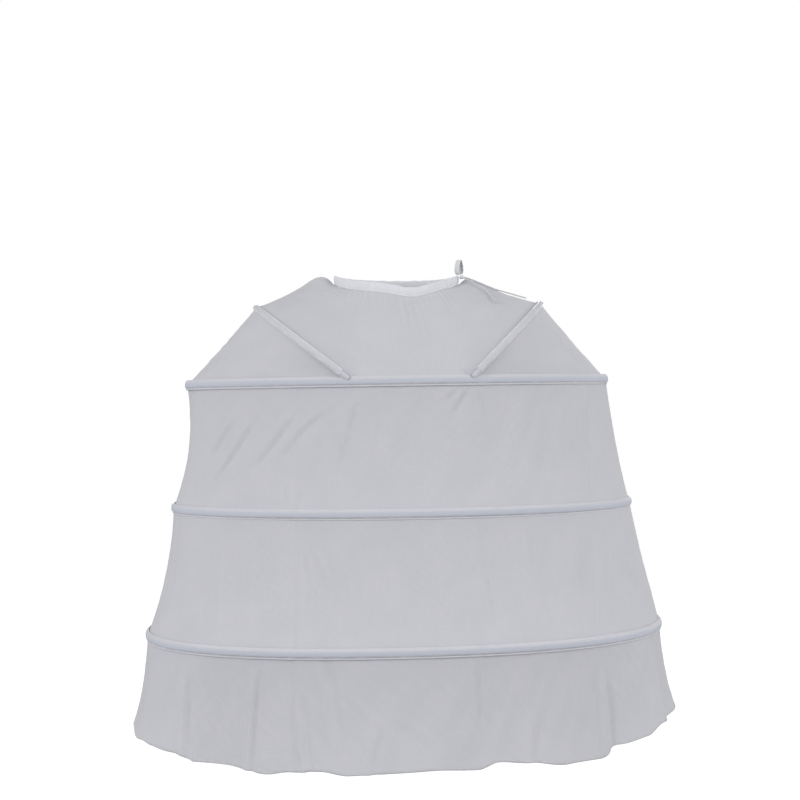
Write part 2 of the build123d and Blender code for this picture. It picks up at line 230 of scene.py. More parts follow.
# The three hoops: each is an oval of flat steel. They give every tier of cloth its shape, with a
# reach to the left, right and back, a height, a slope and how square the oval is.
HOOP_1 = dict(left=456, right=441, depth=287, height=-229, slope=0.015, square=2.0)
HOOP_2 = dict(left=484, right=490, depth=330, height=-489, slope=0.015, square=2.1)
HOOP_3 = dict(left=535, right=551, depth=402, height=-748, slope=0.023, square=2.3)
HEM = dict(left=575, right=583, depth=430, height=-962, slope=0.032, square=2.2)


def turn_of(angle):
    """Cosine and sine of angles in degrees."""
    return np.cos(np.radians(angle)), np.sin(np.radians(angle))


def oval(ring, angle, inset=0.0):
    """The point of a hoop that faces a direction: abs(x/reach)^n + abs(y/depth)^n = 1."""
    c, s = turn_of(np.asarray(angle, float))
    reach = np.where(c > 0, ring["right"], ring["left"]) - inset
    depth = ring["depth"] - inset
    n = ring["square"]
    across = np.abs(reach * c) ** (1 / (n - 1))
    along = np.abs(depth * s) ** (1 / (n - 1))
    size = (across**n + along**n) ** (-1 / n)
    x = np.sign(c) * reach * size * across
    y = np.sign(s) * depth * size * along
    return np.stack([x, y, ring["height"] + ring["slope"] * x], axis=-1)


def angle_at(ring, x, back):
    """The direction at which a hoop crosses an upright seam at x, from a fine table."""
    table = np.linspace(180, 360, 7201) if back else np.linspace(180, 0, 7201)
    return np.interp(x, oval(ring, table)[:, 0], table)


def even(place, count):
    """Shares from 0 to 1 at which a line's points are the same distance apart."""
    share = np.linspace(0, 1, 4001)
    steps = np.linalg.norm(np.diff(place(share), axis=0), axis=1)
    run = np.concatenate([[0], np.cumsum(steps)])
    return np.interp(np.linspace(0, run[-1], count), run, share)


def length_of(place, steps):
    """The length of a line, as the sum of that many straight steps."""
    points = place(np.linspace(0, 1, steps))
    return np.linalg.norm(np.diff(points, axis=0), axis=1).sum()


def unit(v):
    """Vectors of length one."""
    return v / np.maximum(np.linalg.norm(v, axis=-1, keepdims=True), 1e-9)


def shell(name, grid, closed=False, over_steel=None):
    """A closed mesh from profiles along a path, as an array of path, profile and xyz.

    Each profile is a loop: down the face and back up the inside. A path that isn't closed gets
    its two ends filled between face and inside. The UV map holds mm along and round.
    The last argument marks the profile's points from 0 to 1 where the finish paints in shade."""
    columns, around = grid.shape[:2]
    j = np.arange(columns if closed else columns - 1)[:, None]
    k = np.arange(around)[None, :]
    a, b = j * around + k, j * around + (k + 1) % around
    c, d = (j + 1) % columns * around + (k + 1) % around, (j + 1) % columns * around + k
    faces = [np.stack([a, b, c, d], axis=-1).reshape(-1, 4)]
    steps = np.linalg.norm(np.diff(grid[:, 0], axis=0), axis=1)
    run = np.concatenate([[0], np.cumsum(steps), [0]])
    run[-1] = run[-2] + np.linalg.norm(grid[0, 0] - grid[-1, 0])
    middle = grid[columns // 2]
    down = np.linalg.norm(np.diff(middle, axis=0, append=middle[:1]), axis=1)
    down = np.concatenate([[0], np.cumsum(down)])
    u = np.stack([run[j] + 0 * k, run[j] + 0 * k, run[j + 1] + 0 * k, run[j + 1] + 0 * k], -1)
    v = np.stack([down[k] + 0 * j, down[k + 1] + 0 * j, down[k + 1] + 0 * j, down[k] + 0 * j], -1)
    marks = [np.stack([u, v], axis=-1).reshape(-1, 4, 2)]
    if not closed:
        k = np.arange(around // 2 - 1)
        end = (columns - 1) * around
        first = np.stack([k + 1, k, around - 1 - k, around - 2 - k], axis=-1)
        last = np.stack([k, k + 1, around - 2 - k, around - 1 - k], axis=-1) + end
        faces += [first, last]
        marks += [np.zeros((len(first) * 2, 4, 2))]
    faces = np.concatenate(faces)
    mesh = bpy.data.meshes.new(name)
    mesh.vertices.add(columns * around)
    mesh.vertices.foreach_set("co", (grid * MM).astype(np.float32).ravel())
    mesh.loops.add(faces.size)
    mesh.loops.foreach_set("vertex_index", faces.astype(np.int32).ravel())
    mesh.polygons.add(len(faces))
    mesh.polygons.foreach_set("loop_start", np.arange(0, faces.size, 4, dtype=np.int32))
    mesh.update(calc_edges=True)
    mesh.polygons.foreach_set("use_smooth", np.ones(len(faces), dtype=bool))
    layer = mesh.uv_layers.new(name="cloth")
    layer.data.foreach_set("uv", np.concatenate(marks).astype(np.float32).ravel())
    mesh.set_sharp_from_angle(angle=radians(55))
    # The mark of where the finish paints shade, from 0 to 1 at each point of a profile.
    if over_steel is not None:
        mark = mesh.attributes.new("over_steel", "FLOAT", "POINT")
        mark.data.foreach_set("value", np.tile(over_steel, columns).astype(np.float32))
    piece = bpy.data.objects.new(name, mesh)
    bpy.context.collection.objects.link(piece)
    return piece


def with_inside(face, thick):
    """Profiles of a cloth from its face: the inside lies one thickness behind the face."""
    along = np.gradient(face, axis=0)
    down = np.gradient(face, axis=1)
    inside = face - unit(np.cross(down, along)) * thick
    return np.concatenate([face, inside[:, ::-1]], axis=1)


def waves(seed, along, down, count, length, slant=0.5):
    """Soft unevenness of cloth: a sum of slow sine waves in mm along and down it."""
    rng = np.random.default_rng(seed)
    total = 0
    for _ in range(count):
        reach = length * rng.uniform(0.6, 1.6)
        lean = rng.uniform(-slant, slant)
        total = total + np.sin((along + lean * down) * 2 * np.pi / reach + rng.uniform(0, 6.3))
    return total / count**0.5


# The bands and the flounce are each sewn from four widths of thin white cotton lawn. They hang
# from hoop to hoop and are drawn in a little between them; the flounce flares in soft folds.
CLOTH = 0.9
GRID_STEP = 5
SLOW_WAVES, FINE_WAVES, PUCKERS = 0.9, 0.35, 0.4
SEAM_GROOVE = 0.8
BACK_SEAM_LEFT, BACK_SEAM_RIGHT = -205, 386
WIDTHS = {
    "back": ((BACK_SEAM_LEFT, True), (BACK_SEAM_RIGHT, True)),
    "right": ((BACK_SEAM_RIGHT, True), (-BACK_SEAM_LEFT, False)),
    "front": ((-BACK_SEAM_LEFT, False), (-BACK_SEAM_RIGHT, False)),
    "left": ((-BACK_SEAM_RIGHT, False), (BACK_SEAM_LEFT, True)),
}
FLOUNCE_WAVES = ((7, 6.0, 0.4), (11, 4.5, 1.9), (17, 2.5, 3.1))
HEM_RIPPLES = ((5, 3.0, 0.6), (13, 2.0, 2.2))
# Pulls in the back of each tier: x and z of both ends, how far the line bows to +x, its half
# width and its height. The upper band's fan out from the feet of the hip arches. Soft light
# hides low creases, so each is built PULL_BOOST times as high.
PULL_BOOST = 2.2
PULLS = {
    "upper_band": (
        (-334, -300, -396, -396, 0, 7, 2.2),
        (-288, -296, -386, -440, 4, 6.5, 2.8),
        (-210, -286, -310, -420, 6, 7, 2.8),
        (-126, -276, -236, -396, -22, 6.5, 2.4),
        (-148, -318, -168, -420, -4, 5.5, 2.0),
        (-76, -250, -120, -420, -6, 6, 2.6),
        (-38, -300, -62, -415, 0, 6, 1.2),
        (-229, -436, -235, -482, 0, 5, 2.0),
        (-196, -440, -200, -482, 0, 4.5, 2.0),
        (-316, -456, -320, -486, 0, 5, 1.6),
        (-88, -452, -92, -484, 0, 5, 1.2),
        (134, -240, 98, -300, 0, 6, 2.0),
        (150, -244, 172, -310, 0, 6, 1.6),
        (116, -240, 80, -272, 0, 5, 1.5),
    ),
    "lower_band": (
        (142, -505, 190, -748, 3, 4, 1.5),
        (-182, -540, -168, -610, 0, 4.5, 1.5),
        (-160, -555, -138, -620, 3, 4.5, 1.5),
        (-196, -570, -184, -640, 0, 5, 1.2),
        (-300, -500, -318, -600, 4, 7, 1.2),
        (250, -515, 262, -600, 0, 7, 1.2),
    ),
    "flounce": (
        (-421, -790, -424, -1030, 0, 10, 4.4),
        (-276, -775, -294, -1030, 0, 9, 5.0),
        (-190, -815, -162, -1030, -6, 8, 3.6),
        (-150, -752, -124, -930, 0, 11, 3.0),
        (147, -752, 150, -900, 0, 4, 1.8),
        (398, -790, 422, -1030, 0, 9, 4.0),
        (-40, -880, -62, -1030, 0, 10, 2.2),
        (262, -860, 250, -1030, 0, 12, 2.4),
    ),
}
# The back hem doesn't hang level: x and how far it is lifted there.
HEM_LIFTS = (
    (-575, 37),
    (-530, 28),
    (-500, 20),
    (-440, 20),
    (-405, 6),
    (-340, 5),
    (-260, -3),
    (-205, 6),
    (-150, 9),
    (-95, 0),
    (60, 0),
    (150, -5),
    (190, 7),
    (245, 2),
    (325, -11),
    (395, -15),
    (430, 8),
    (490, 18),
    (525, 31),
    (556, 28),
    (583, 24),
)


def width_angles(ring, seams, share):
    """Directions at shares of the way round a hoop from one seam to the next."""
    first, last = (angle_at(ring, x, back) for x, back in seams)
    last = last + 360 if last < first else last
    return first + (last - first) * share


def pulled(p, pulls):
    """Creases along pulls: each is a short slope, -height off exp(-off^2) across its line, where
    off is the distance from the line in half widths. It fades at both ends of the line."""
    x, z = p[..., 0], p[..., 2]
    relief = 0
    for x0, z0, x1, z1, bow, half, height in pulls:
        t = (z - z0) / (z1 - z0)
        line = x0 + (x1 - x0) * t + bow * 4 * t * (1 - t)
        off = (x - line) * abs(z1 - z0) / np.hypot(x1 - x0, z1 - z0) / half
        fade = np.clip(t * 4, 0, 1) * np.clip((1 - t) * 3, 0, 1)
        fade = fade * fade * (3 - 2 * fade)
        slope = off * np.exp(-np.minimum(off**2, 50))
        relief = relief - PULL_BOOST * height * fade * slope
    return relief * np.clip(-p[..., 1] / 40, 0, 1)


def flounce_fold(p, angle, drop):
    """How far the flounce stands out: its waves, its pulls, and a little less at its ends."""
    turn = np.radians(angle)
    out = drop**1.5 * sum(h * np.sin(n * turn + t) for n, h, t in FLOUNCE_WAVES)
    narrow = np.where(np.cos(turn) > 0, 2, 7) * np.cos(turn) ** 6
    return out + pulled(p, PULLS["flounce"]) - drop * narrow


def flounce_lift(p, angle, drop):
    """How far the flounce's edge is lifted: its ripples, and at the back its uneven hang."""
    turn = np.radians(angle)
    rise = sum(h * np.sin(n * turn + t) for n, h, t in HEM_RIPPLES)
    places, lifts = np.array(HEM_LIFTS, float).T
    k = np.clip(np.searchsorted(places, p[..., 0]) - 1, 0, len(places) - 2)
    t = np.clip((p[..., 0] - places[k]) / (places[k + 1] - places[k]), 0, 1)
    hang = lifts[k] + (lifts[k + 1] - lifts[k]) * t * t * (3 - 2 * t)
    return drop**2 * (rise + hang * np.exp(-np.clip(p[..., 1], 0, None) / 120))


def tier_face(tier, upper, lower, sag, seams, seed, top_gap):
    """The face of one width: straight from hoop to hoop, drawn in by sag 4 drop (1 - drop), plus
    its folds. Also the length of its lower edge, and its height."""
    low_line = lambda s: oval(lower, width_angles(lower, seams, s))
    length = length_of(low_line, 400)
    share = even(low_line, int(length / GRID_STEP) + 2)[:, None]
    tall = upper["height"] - lower["height"]
    rows = int(tall / GRID_STEP) + 1
    drop = (top_gap + (1 - top_gap) * np.linspace(0, 1, rows))[None, :]
    top_angle = width_angles(upper, seams, share)
    low_angle = width_angles(lower, seams, share)
    top, low = oval(upper, top_angle), oval(lower, low_angle)
    p = top + (low - top) * drop[..., None]
    angle = top_angle + (low_angle - top_angle) * drop
    c, s = turn_of(angle)
    pull = 4 * drop * (1 - drop)
    side = np.where(c > 0, sag["right"], sag["left"])
    p[..., 0] -= pull * side * c * np.abs(c)
    p[..., 1] -= pull * sag["depth"] * s
    run, fall = share * length, drop * tall
    out = pull * SLOW_WAVES * waves(seed, run, fall, 6, 90)
    out = out + pull * FINE_WAVES * waves(seed + 1, run, fall, 6, 26, 1.2)
    # Puckers where the cloth is sewn under the casings.
    pucker = PUCKERS * waves(seed + 2, run, 0 * fall, 7, 11, 0)
    out = out + pucker * np.exp(-fall / 9)
    if tier != "flounce":
        out = out + pucker * np.exp(-(tall - fall) / 12)
    # Each seam is pressed flat and lies a little in.
    edge = np.minimum(run, length - run)
    out = out * np.clip(edge / 12, 0.15, 1) - SEAM_GROOVE * np.exp(-((edge / 2.4) ** 2))
    if tier == "flounce":
        out = out + flounce_fold(p, angle, drop)
        p[..., 2] += flounce_lift(p, angle, drop)
    else:
        out = out + pulled(p, PULLS[tier])
    p[..., 0] += out * c
    p[..., 1] += out * s
    for column, (x, _) in ((0, seams[0]), (-1, seams[1])):
        p[column, :, 0] = x
    return p, length, tall


# Bleached cotton lawn, a thin plain weave that was washed and not ironed. Each tier has the hoop
# above, the line below, its sag to the left, right and back, and the share left clear at its top.
lawn = cotton("bleached_cotton_lawn", "#d3d3d9", "#cecfd5", 1.6, 0.35)
TIERS = {
    "upper_band": (HOOP_1, HOOP_2, dict(left=18, right=5, depth=12), 0.008),
    "lower_band": (HOOP_2, HOOP_3, dict(left=12, right=2, depth=14), 0.0),
    "flounce": (HOOP_3, HEM, dict(left=5, right=4, depth=8), 0.0),
}
for t, (tier, (upper, lower, sag, gap)) in enumerate(TIERS.items()):
    for w, (side, seams) in enumerate(WIDTHS.items()):
        face, length, tall = tier_face(tier, upper, lower, sag, seams, 10 * t + 3 * w, gap)
        piece = shell(f"{tier}_{side}_lawn", with_inside(face, CLOTH))
        dress(piece, lawn, "cotton_cloth", f"{tier}_{side}")


# The casings are bias strips of the same cotton, doubled, sewn on along both edges with the
# hoop between. The lower edge stands off as a narrow stitched flange. The edges of each strip lie
# as far out from the hoop's line as the cloth above and below it needs.
CASING_HALF = 10.5
CASING_OUT = 5.1
CASING_THICK = 0.8
CASING_STEP = 4.5
CASING_EDGES = ((0.6, 1.5), (-1.5, 1.0), (-2, 1.3))


def casing_profile(top_out, low_out):
    """The strip's section, out from the hoop's line and up: face down, then inside up."""
    face = np.array(
        [
            (top_out + 0.3, CASING_HALF),
            (top_out + 0.7, CASING_HALF - 0.3),
            (top_out + 1.2, CASING_HALF - 1.4),
            (top_out * 0.6 + 2.0, CASING_HALF - 2.4),
            (CASING_OUT - 1.3, 6.6),
            (CASING_OUT - 0.5, 5.0),
            (CASING_OUT - 0.1, 2.8),
            (CASING_OUT, 0.0),
            (CASING_OUT, -2.8),
            (CASING_OUT - 0.5, -4.9),
            (CASING_OUT - 1.9, -6.3),
            (low_out + 0.5, -7.0),
            (low_out + 0.3, -7.3),
            (low_out + 1.2, -8.1),
            (low_out + 1.5, -9.6),
            (low_out + 1.0, -CASING_HALF),
        ]
    )
    inside = face - np.array([CASING_THICK, 0.0])
    inside[4:11] = face[4:11] - np.array([CASING_THICK + 0.1, 0.0])
    return np.concatenate([face, inside[::-1]])


def carry(place, out, up, profile):
    """A section carried along a path: place + out times its first value + up times its second."""
    return (
        place[:, None]
        + out[:, None] * profile[..., 0:1]
        + up[:, None] * profile[..., 1:2]
    )


# Cotton casing strip, two layers, so whiter than the single cloth, with shade painted in as a
# darker, cooler band over the body of the strip, where the steel lies. The marks and weights below
# run down the section's face, and back up its inside.
# How much shade is painted at each point of the section: most on the strip's outer body, none at
# its edges.
PAINTED_SHADE = [0, 0, 0, 0, 0.1, 0.45, 0.9, 1, 1, 0.85, 0.5, 0.2, 0, 0, 0, 0]
PAINTED_SHADE += PAINTED_SHADE[::-1]
ON_EDGES = np.array([0.5, 0.6, 0.6, 0.3] + [0.0] * 7 + [0.2, 0.3, 0.8, 1.0, 1.0])
ON_EDGES = np.concatenate([ON_EDGES, ON_EDGES[::-1]])
ON_BODY = np.array([0, 0, 0, 0.1, 0.6, 1, 1, 1, 1, 1, 0.6, 0.1, 0, 0, 0, 0])
ON_BODY = np.concatenate([ON_BODY, ON_BODY[::-1]])
# ccd0db is the darker, cooler colour painted as shade over the strip's body.
strip = cotton("doubled_cotton_strip", "#d9d9df", "#d3d3da", 1.6, 0.35, over_steel="#ccd0db")
for number, (ring, edges) in enumerate(zip((HOOP_1, HOOP_2, HOOP_3), CASING_EDGES), 1):
    line = lambda s: oval(ring, 360 * s)
    length = length_of(line, 2000)
    count = int(length / CASING_STEP)
    angle = 360 * even(line, count + 1)[:-1]
    place = oval(ring, angle)
    c, s = turn_of(angle)
    out = np.stack([c, s, 0 * c], axis=-1)
    up = np.tile([0.0, 0.0, 1.0], (count, 1))
    run = np.arange(count) * length / count
    profile = np.tile(casing_profile(*edges), (count, 1, 1))
    whole = 2 * np.pi / length
    ripple = sum(np.sin(run * whole * n + n) for n in (97, 151, 233)) / 3
    swell = sum(np.sin(run * whole * n + 2 * n) for n in (41, 67, 113)) / 3
    profile[..., 0] += 0.45 * ripple[:, None] * ON_EDGES + 0.35 * swell[:, None] * ON_BODY
    profile[..., 1] += 0.3 * swell[:, None] * ON_EDGES
    piece = shell(f"hoop_strip_{number}", carry(place, out, up, profile), True, PAINTED_SHADE)
    dress(piece, strip, "casing_cloth", f"hoop_casing_{number}")


# The hem is overlocked: looped cotton thread wraps the flounce's raw edge in close beads, sewn by
# machine all the way round. It follows the flounce's own folds and lift.
BEAD, BEAD_STEP = 6.5, 1.45
RIM_IN, RIM_DOWN = 0.45, 2.2
seam_angles = []
for seams in WIDTHS.values():
    low_line = lambda s: oval(HEM, width_angles(HEM, seams, s))
    length = length_of(low_line, 400)
    share = even(low_line, int(length / BEAD_STEP) + 2)[:-1]
    seam_angles.append(width_angles(HEM, seams, share) % 360)
angle = np.concatenate(seam_angles)
place = oval(HEM, angle)
c, s = turn_of(angle)
fold, lift = flounce_fold(place, angle, 1.0), flounce_lift(place, angle, 1.0)
place[:, 0] += fold * c
place[:, 1] += fold * s
place[:, 2] += lift - 0.1
run = np.concatenate([[0], np.cumsum(np.linalg.norm(np.diff(place, axis=0), axis=1))])
beads = np.round(run[-1] / BEAD)
bead = np.sin(run / run[-1] * beads * np.pi) ** 2
rim = np.linspace(0, 2 * np.pi, 11)[:-1]
profile = np.stack([1.2 * np.cos(rim), 2.3 * np.sin(rim)], axis=-1)[::-1]
profile = np.tile(profile, (len(angle), 1, 1))
profile[..., 0] = profile[..., 0] * (0.78 + 0.3 * bead[:, None]) - RIM_IN
profile[..., 1] = profile[..., 1] * (0.9 + 0.14 * bead[:, None]) - RIM_DOWN
out = np.stack([c, s, 0 * c], axis=-1)
up = np.tile([0.0, 0.0, 1.0], (len(angle), 1))
overlock = cotton("overlocked_cotton_thread", "#dddee3", "#cbccd2", 1.3, 0.6)
piece = shell("hem_thread", carry(place, out, up, profile), closed=True)
dress(piece, overlock, "overlock_thread", "hem_overlock")


# The hip arches: two bent steels that start on the back of the top hoop, rise to the hips and
# come down at the front. Each is sewn into a strip like the hoops' own.
ARCH_LEFT = dict(foot_x=-94, top_x=-308, top_z=-70, side=-1)
ARCH_RIGHT = dict(foot_x=138, top_x=300, top_z=-61, side=1)
FOOT_GAP = 9
STANDS_OUT = 0.8
# The arches' strips are narrower than the hoops' and carry half as much painted shade on their
# body.
NARROW = 0.72
ARCH_PAINTED_SHADE = [0.5 * mark for mark in PAINTED_SHADE]
WAIST = dict(left=140, right=124, depth=95, height=0, slope=0, square=2.0)


def waist_line(angle, inset=0.0):
    """The top edge of the waist: an oval that dips 4 mm at the front and more at the back, where
    it sinks deepest just right of the middle."""
    p = oval(WAIST, angle, inset)
    sink = 21 + 11 * np.exp(-(((p[..., 0] - 28) / 46) ** 2))
    p[..., 2] -= np.where(p[..., 1] < 0, sink, 4) * turn_of(angle)[1] ** 2
    return p


def arch_line(arch, turn):
    """An arch is half an oval, from its back foot at 0 degrees to its front foot at 180."""
    foot = oval(HOOP_1, angle_at(HOOP_1, arch["foot_x"], True))
    middle = np.array([foot[0], 0, foot[2]])
    rise = np.array([arch["top_x"], 0, arch["top_z"]]) - middle
    reach = np.array([0, -foot[1], 0])
    c, s = turn_of(turn)
    return middle + rise * s[..., None] - reach * c[..., None]


def arch_hoop(arch, share):
    """The top hoop beside an arch, from the back foot to the front foot."""
    back = angle_at(HOOP_1, arch["foot_x"], True)
    front = angle_at(HOOP_1, arch["foot_x"], False)
    if arch["side"] > 0:
        back = back - 360
    return oval(HOOP_1, back + (front - back) * share)


for name, arch in (("left", ARCH_LEFT), ("right", ARCH_RIGHT)):
    side = arch["side"]
    foot = oval(HOOP_1, angle_at(HOOP_1, arch["foot_x"], True))
    rise = np.hypot(arch["top_x"] - foot[0], arch["top_z"] - foot[2])
    first = np.degrees(FOOT_GAP / rise)
    line = lambda s: arch_line(arch, first + (180 - 2 * first) * s)
    turn = first + (180 - 2 * first) * even(line, 200)
    place = arch_line(arch, turn)
    along = unit(arch_line(arch, turn + 0.1) - arch_line(arch, turn - 0.1))
    to_hoop = unit(arch_hoop(arch, turn / 180) - place)
    waist = waist_line((180 if side < 0 else 0) + side * (turn - 90))
    across = unit(unit(waist - place) - to_hoop)
    out = unit(np.cross(across, along) * -side)
    up = np.cross(along, out) * side
    place = place + out * STANDS_OUT
    profile = np.tile(casing_profile(-2, -1) * [1, NARROW], (len(turn), 1, 1))
    run = np.linspace(0, 1, len(turn)) * 800
    profile[..., 0] += 0.3 * waves(60 + side, run, 0 * run, 6, 14)[:, None]
    grid = carry(place, out, up, profile)
    if side < 0:
        grid = grid[::-1]
    piece = shell(f"arch_strip_{name}", grid, False, ARCH_PAINTED_SHADE)
    dress(piece, strip, "casing_cloth", f"arch_casing_{name}")


# The side gussets are shaped pieces of the lawn between each arch and the top hoop. Nothing is
# gathered there: the cloth is stretched, with faint slanting pulls.
GUSSET_END = 0.012
SEWN_CLEAR = 1.5
for name, arch in (("left", ARCH_LEFT), ("right", ARCH_RIGHT)):
    side = arch["side"]
    share = np.linspace(GUSSET_END, 1 - GUSSET_END, 240)[:, None]
    t = np.linspace(0, 1, 60)[None, :, None]
    top = arch_line(arch, 180 * share)
    low = arch_hoop(arch, share)
    run = low - top
    length = np.linalg.norm(run, axis=-1, keepdims=True)
    gap = np.minimum(SEWN_CLEAR, length * 0.1)
    top = top + run / length * gap
    run = low - top
    length = np.linalg.norm(run, axis=-1, keepdims=True)
    p = top + run * (1 - gap / length) * t
    flat = unit(run * [1, 1, 0])
    level = np.linalg.norm(run[..., :2], axis=-1, keepdims=True)
    away = (flat * -run[..., 2:3] + np.array([0, 0, 1.0]) * level) / length
    pull = (4 * t * (1 - t))[..., 0]
    drift = share * 700
    fall = t[..., 0] * length[..., 0]
    relief = pull * (
        0.8 * waves(80 + side, drift, fall, 6, 70, 1.5) - 2.0 * np.sin(np.pi * share)
    )
    relief = relief + 0.35 * waves(83 + side, drift, 0 * fall, 7, 12, 0) * np.exp(-fall / 9)
    p = p + away * relief[..., None]
    if side < 0:
        p = p[::-1]
    piece = shell(f"gusset_{name}_lawn", with_inside(p, CLOTH))
    dress(piece, lawn, "cotton_cloth", f"gusset_{name}")


# The yokes are the same lawn, gathered into the waist casing and spread over the arches down to
# the top hoop. The gathers are sharp at the waist and die out below it, last of all in the middle.
GATHERS = 40
YOKE_TOP = 20.3
YOKE_OUT = 3.4
# The puff at each side of the waist, left and right: its height, and the share of the way down.
PUFFS = ((27, 0.18), (20, 0.15))
ARCH_SHARE = 0.385


def yoke_low(share):
    """The lower edge of the back yoke: down the left arch, along the hoop, up the right arch."""
    left = arch_line(ARCH_LEFT, 90 - 90 * np.clip(share / ARCH_SHARE, 0, 1))
    right = arch_line(ARCH_RIGHT, 90 - 90 * np.clip((1 - share) / ARCH_SHARE, 0, 1))
    first = angle_at(HOOP_1, ARCH_LEFT["foot_x"], True)
    last = angle_at(HOOP_1, ARCH_RIGHT["foot_x"], True)
    along = np.clip((share - ARCH_SHARE) / (1 - 2 * ARCH_SHARE), 0, 1)
    hoop = oval(HOOP_1, first + (last - first) * along)
    p = np.where((share < ARCH_SHARE)[..., None], left, hoop)
    return np.where((share > 1 - ARCH_SHARE)[..., None], right, p)


def yoke_face(front, seed):
    """The face of a yoke: straight from waist to lower edge, plus a puff at each side of the
    waist, height x^0.7 exp(0.7 - 0.7 x) where x is t over the puff's own share, and gathers
    that fade as exp(-t / long). t is the share of the way down."""
    share = np.linspace(0, 1, 481)[:, None]
    t = np.linspace(0, 1, 64)[None, :] ** 1.25
    flip = -1 if front else 1
    top = waist_line(180 + 180 * share * flip, -YOKE_OUT)
    top[..., 2] -= YOKE_TOP
    low = yoke_low(share)
    low[..., 1] *= flip
    top[0, ..., 1] = top[-1, ..., 1] = 0
    run = low - top
    length = np.linalg.norm(run, axis=-1)
    t = t * (1 - SEWN_CLEAR / length)
    flat = unit(run * [1, 1, 0])
    level = np.linalg.norm(run[..., :2], axis=-1)
    away = (flat * -run[..., 2:3] + np.array([0, 0, 1.0]) * level[..., None]) / length[..., None]
    (height_left, where_left), (height_right, where_right) = PUFFS
    height = np.where(share < 0.5, height_left, height_right) * np.abs(2 * share - 1) ** 5
    where = np.where(share < 0.5, where_left, where_right)
    past = t / where - 1
    swell = height * (past + 1) ** 0.7 * np.exp(-0.7 * past)
    swell = swell * np.exp(-0.09 * (past + np.sqrt(past**2 + 0.2)))
    rng = np.random.default_rng(seed)
    shift = sum(rng.uniform(0.1, 0.5) * np.sin(share * n + rng.uniform(0, 6)) for n in (9, 17, 31))
    gather = np.sin(2 * np.pi * GATHERS * share + 2 * shift)
    depth = 1.2 + 0.5 * np.sin(share * 23 + seed) * np.sin(share * 57)
    long = np.clip(0.2 + 0.1 * np.sin(share * 41 + seed) + 0.1 * np.sin(share * 12.7), 0.1, 1)
    stay = 0.34 * np.exp(-(((share - 0.47) / 0.16) ** 2))
    fade = np.exp(-t / long) * (1 - stay) + stay
    fold = depth * gather * fade * np.clip(np.minimum(share, 1 - share) * 40, 0, 1)
    slow = 0.9 * waves(seed, share * 620, t * 200, 6, 80, 0.8) * 4 * t * (1 - t)
    p = top + run * t[..., None] + away * swell[..., None]
    # The cloth runs round the corners of its lower edge in an easy curve.
    near = np.exp(-(((share - share.T) / 0.045) ** 2))
    eased = np.einsum("ij,jkl->ikl", near / near.sum(axis=1, keepdims=True), p)
    ease = np.clip(5 * t * (1 - t), 0, 1) * np.clip(np.minimum(share, 1 - share) * 9, 0, 1)
    p = p + (eased - p) * ease[..., None]
    p = p + away * slow[..., None] + flat * fold[..., None]
    p[0, :, 1] = p[-1, :, 1] = 0
    return p[::-1] if front else p


for name, front, seed in (("back", False, 5), ("front", True, 6)):
    piece = shell(f"yoke_{name}_lawn", with_inside(yoke_face(front, seed), CLOTH))
    dress(piece, lawn, "cotton_cloth", f"{name}_yoke")


# The waist casing is a folded strip in two halves, back and front, open at the wearer's right.
# The string gathers it, so that it stands in short upright puckers with a stitched lower edge.
WAIST_TALL = 20
WAIST_HALF = 2.4
waist_strip = cotton("folded_cotton_waist_strip", "#ecedf2", "#e6e7ec", 1.6, 0.35)
for name, first, last in (("back", 182, 355), ("front", 5, 178)):
    angle = first + (last - first) * np.linspace(0, 1, 260)
    place = waist_line(angle)
    c, s = turn_of(angle)
    out = np.stack([c, s, 0 * c], axis=-1)
    up = np.tile([0.0, 0.0, 1.0], (len(angle), 1))
    face = np.array(
        [
            (0.3, 0.1),
            (1.3, -0.4),
            (1.9, -1.6),
            (2.0, -4.0),
            (2.3, -7.0),
            (WAIST_HALF, -10.0),
            (2.3, -13.0),
            (1.9, -15.6),
            (1.5, -16.4),
            (1.9, -17.2),
            (2.0, -19.0),
            (1.8, -WAIST_TALL),
        ]
    )
    inside = np.array([(0.85, y) for y in np.linspace(-3, -WAIST_TALL, 12)])[::-1]
    half = np.concatenate([face, inside])
    profile = np.concatenate([half, half[::-1] * [-1, 1]])
    profile = np.tile(profile, (len(angle), 1, 1))
    run = np.linspace(0, 1, len(angle)) * 340
    pucker = waves(90, run, 0 * run, 6, 13, 0)[:, None]
    weight = np.abs(profile[..., 0]) / WAIST_HALF
    profile[..., 0] += 0.55 * pucker * weight * np.sign(profile[..., 0])
    profile[..., 1] += 0.5 * waves(91, run, 0 * run, 5, 17, 0)[:, None] * (profile[..., 1] > -1)
    piece = shell(f"waist_strip_{name}", carry(place, out, up, profile))
    dress(piece, waist_strip, "casing_cloth", f"waist_casing_{name}")


# The knot and the standing loop of the bow are the same string, pressed flat into a tape. They
# are tied at the right side opening and hold the waist strips shut.
# The same string as the tails, painted lighter: painted light on the standing loop and the knot.
string_painted_lighter = cotton("bleached_cotton_string_painted_lighter", "#eeeff2", "#e4e6ea", 1.2, 0.5, "Object")
BOW_TURN = 48
BOW_AT = (126, -22, 16.7)
BOW_HALF_WIDE, BOW_THICK = 6.5, 0.8
turn = np.linspace(0, 2 * np.pi, 73)[:-1]
across = np.linspace(-1, 1, 9)
drop_shape = np.stack(
    [9.6 * np.cos(turn) * (0.72 - 0.28 * np.sin(turn)), 15.6 * np.sin(turn)], axis=-1
)
normal = unit(
    np.stack([np.gradient(drop_shape[:, 1]), -np.gradient(drop_shape[:, 0])], axis=-1)
)
cup = (0.3 * (1 - across**2))[None, :, None]
outer = drop_shape[:, None] + normal[:, None] * cup
inner = drop_shape[:, None] + normal[:, None] * (cup - BOW_THICK)
ring_grid = []
c, s = turn_of(BOW_TURN)
